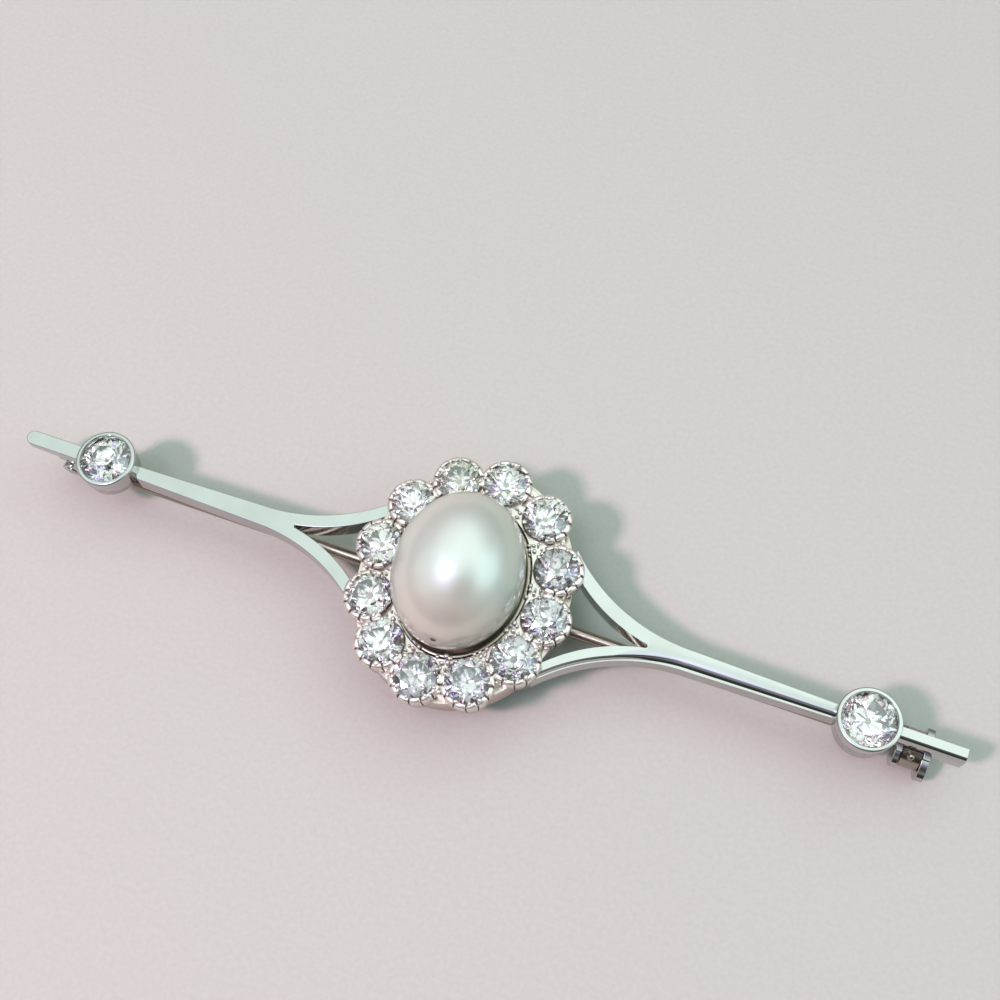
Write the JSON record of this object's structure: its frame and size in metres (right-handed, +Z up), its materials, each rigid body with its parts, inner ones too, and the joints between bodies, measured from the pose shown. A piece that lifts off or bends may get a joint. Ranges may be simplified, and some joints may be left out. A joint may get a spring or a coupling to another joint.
{
  "type": "pearl and diamond brooch",
  "caption": "Slender bar brooch with an oval pearl in a diamond halo, forked arms, a diamond near each end, a hinged pin and a rolling safety catch.",
  "frame": {"origin": "middle of the brooch, on the surface it lies on face up", "axes": "+X along the bar from the hinge to the catch, +Y across the bar, +Z up out of the brooch's face"},
  "size_m": [0.066, 0.0178, 0.0109],
  "materials": {
    "white_metal": "polished platinum-white metal",
    "pin_metal": "drawn white gold wire, lightly polished",
    "diamond": "polished facets",
    "pearl": "soft nacre lustre"
  },
  "bodies": {
    "brooch": {"mount": "white_metal", "pearl": "pearl", "halo_diamond_01": "diamond", "halo_diamond_02": "diamond", "halo_diamond_03": "diamond", "halo_diamond_04": "diamond", "halo_diamond_05": "diamond", "halo_diamond_06": "diamond", "halo_diamond_07": "diamond", "halo_diamond_08": "diamond", "halo_diamond_09": "diamond", "halo_diamond_10": "diamond", "halo_diamond_11": "diamond", "halo_diamond_12": "diamond", "end_diamond_left": "diamond", "end_diamond_right": "diamond", "hinge_rivet": "white_metal"},
    "pin": {"pin_stem": "pin_metal"},
    "barrel": {"catch_barrel": "white_metal"}
  },
  "joints": [
    {"name": "pin_hinge", "type": "hinge", "parent": "brooch", "child": "pin", "pos_m": [-0.03015, 0, 0.0016], "axis": [0, 1, 0], "range_deg": [0, 100]},
    {"name": "catch_roll", "type": "hinge", "parent": "brooch", "child": "barrel", "pos_m": [0.03005, 0, 0.0016], "axis": [1, 0, 0], "range_deg": [0, 100]}
  ]
}
